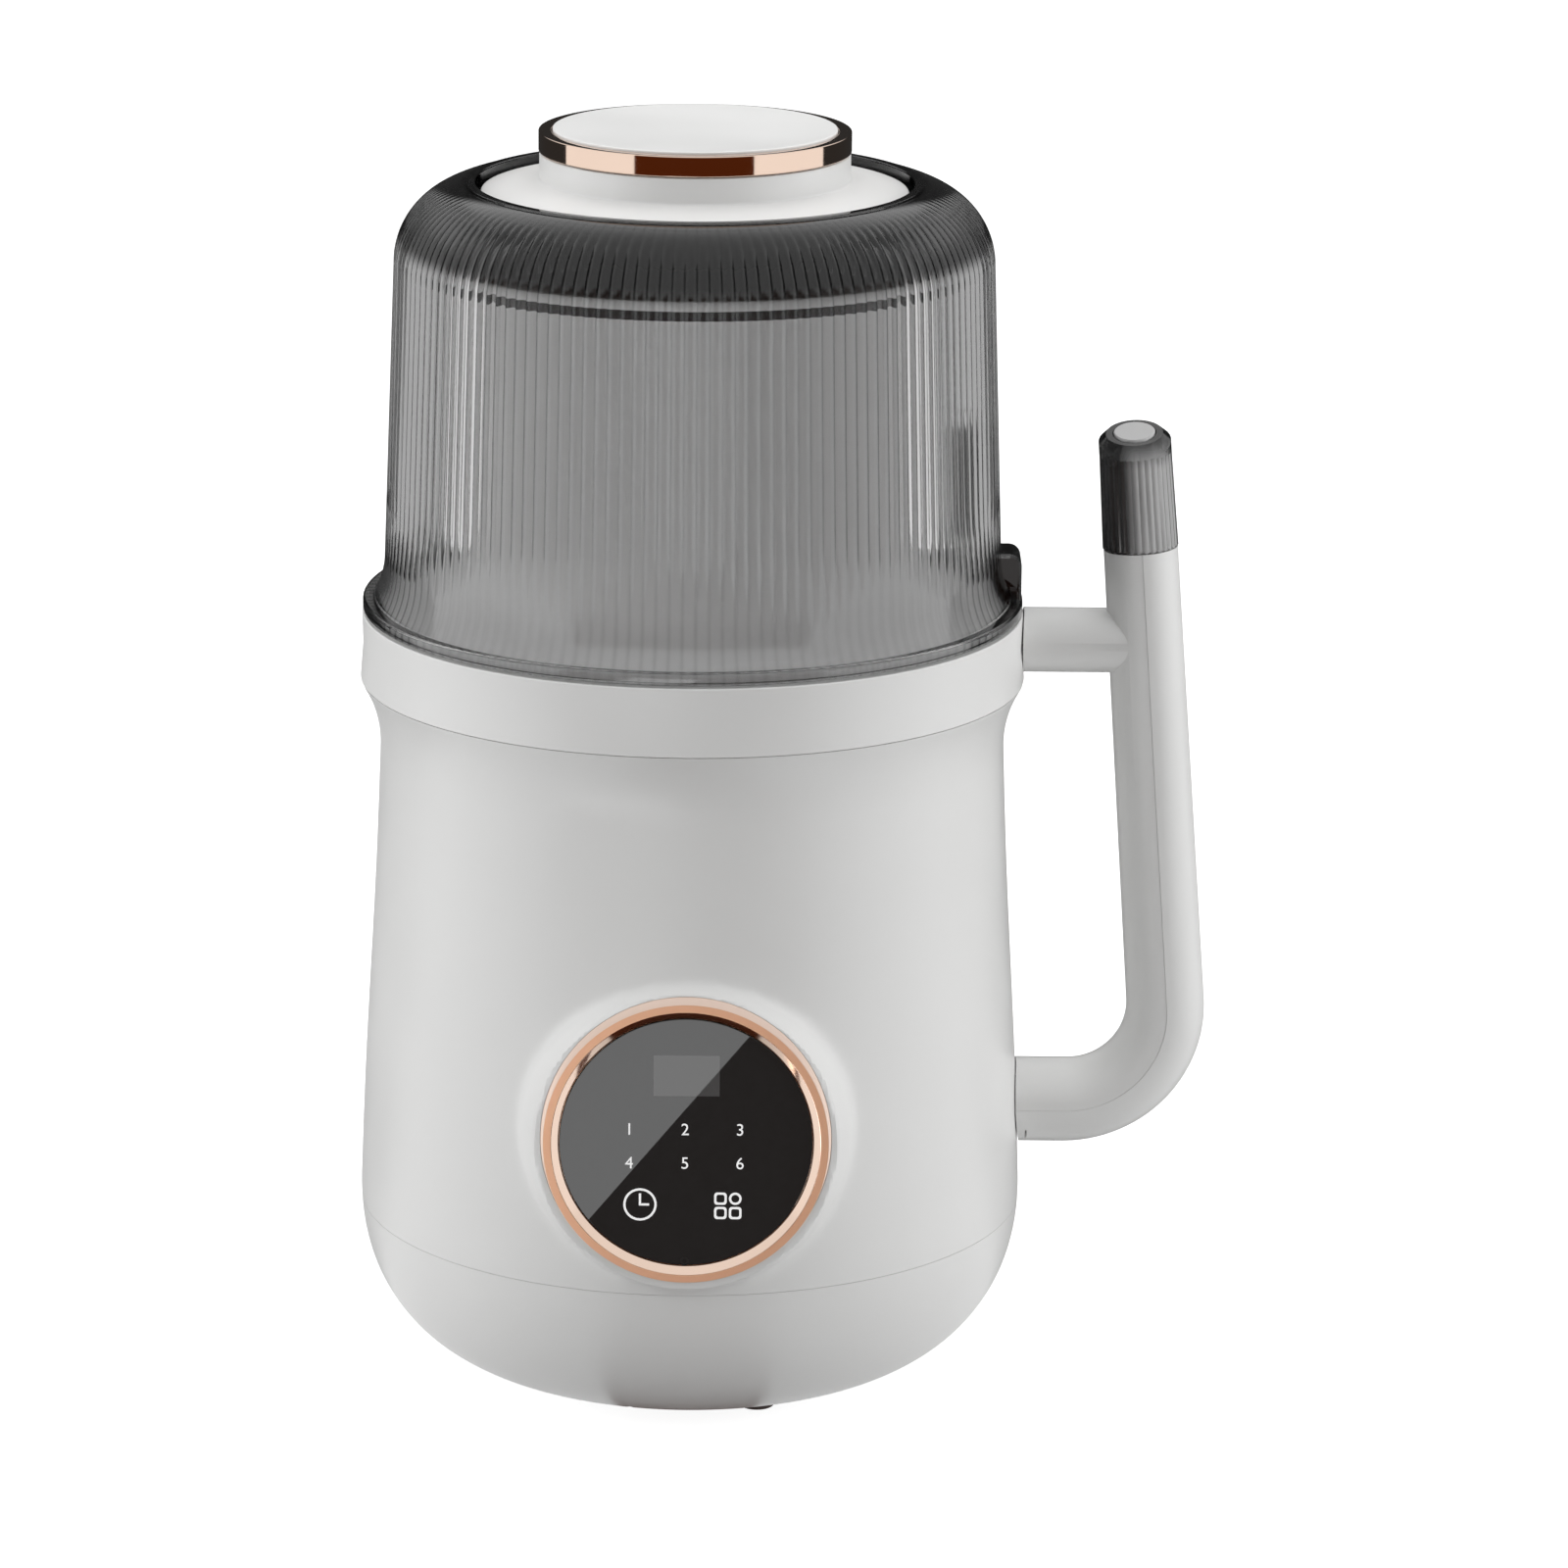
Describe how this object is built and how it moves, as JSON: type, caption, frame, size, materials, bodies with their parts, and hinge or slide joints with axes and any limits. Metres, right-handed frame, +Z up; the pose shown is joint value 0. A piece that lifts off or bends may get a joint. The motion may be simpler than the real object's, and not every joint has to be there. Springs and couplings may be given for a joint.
{
  "type": "soy milk maker",
  "caption": "Pot-bellied soy milk maker with a round touch panel, a fluted smoked hood with a lift-out lid, and a side handle with a start button.",
  "frame": {"origin": "centre of the flat pad in the middle of the underside, on the machine's axis, 2 mm above the ground that the feet stand on", "axes": "+Z up along the machine's axis, +X towards the handle, -Y towards the round control panel"},
  "size_m": [0.217, 0.1758, 0.323],
  "materials": {
    "white_shell": "white moulded plastic, satin gloss",
    "light_grey_liner": "light grey moulded plastic, satin",
    "smoked_clear": "smoked translucent plastic, polished, fluted",
    "rose_gold": "rose-gold plating, polished",
    "panel_black": "black acrylic window, polished",
    "dark_moulding": "black moulded plastic, matte",
    "button_grey": "grey moulded plastic, satin",
    "silicone_black": "black silicone, matte",
    "stainless": "stainless steel, fine brushed",
    "steel_dark": "plain steel, dark oxide",
    "board_green": "green circuit board laminate",
    "foot_brown": "dark brown rubber, matte"
  },
  "bodies": {
    "body": {"base_pan": "white_shell", "foot_1": "foot_brown", "foot_2": "foot_brown", "foot_3": "foot_brown", "foot_4": "foot_brown", "base_screw_1": "steel_dark", "base_screw_2": "steel_dark", "base_screw_3": "steel_dark", "base_screw_4": "steel_dark", "body_shell": "white_shell", "collar_ring": "white_shell", "inner_cup": "stainless", "cup_gasket": "silicone_black", "heater_ring": "steel_dark", "thermostat": "dark_moulding", "shaft_seal": "silicone_black", "motor_chassis": "dark_moulding", "motor_stator": "steel_dark", "bearing_bracket": "dark_moulding", "upper_bearing": "stainless", "lower_bearing": "stainless", "power_board": "board_green", "display_board": "board_green", "hood_sensor": "dark_moulding", "power_inlet": "dark_moulding", "inlet_pins": "stainless", "panel_ring": "rose_gold", "panel_glass": "panel_black", "handle_inner_shell": "white_shell", "handle_outer_shell": "white_shell", "handle_screw_lower": "steel_dark", "handle_screw_upper": "steel_dark", "handle_cap": "smoked_clear", "button_guide": "dark_moulding", "start_switch": "dark_moulding", "button_spring": "stainless"},
    "rotor": {"motor_rotor": "steel_dark", "drive_shaft": "stainless", "cooling_fan": "dark_moulding", "blade_hub": "stainless", "lower_blade": "stainless", "upper_blade": "stainless", "blade_nut": "stainless"},
    "hood": {"hood_shell": "smoked_clear", "hood_liner": "light_grey_liner", "hood_seal": "silicone_black", "interlock_magnet": "steel_dark"},
    "lid": {"lid_plate": "white_shell", "lid_gasket": "silicone_black", "knob_ring": "rose_gold", "knob_cap": "white_shell"},
    "button": {"handle_button": "button_grey"}
  },
  "joints": [
    {"name": "hood_lift", "type": "slide", "parent": "body", "child": "hood", "axis": [0, 0, 1], "range_m": [0, 0.15]},
    {"name": "lid_lift", "type": "slide", "parent": "hood", "child": "lid", "axis": [0, 0, 1], "range_m": [0, 0.05]},
    {"name": "button_press", "type": "slide", "parent": "body", "child": "button", "axis": [0.0743, 0, -0.9972], "range_m": [0, 0.0015], "stiffness_N_per_m": 400, "springref_m": -0.002, "deforming": ["button_spring"]},
    {"name": "blade_spin", "type": "hinge", "parent": "body", "child": "rotor", "pos_m": [0, 0, 0.1], "axis": [0, 0, 1], "continuous": true}
  ]
}
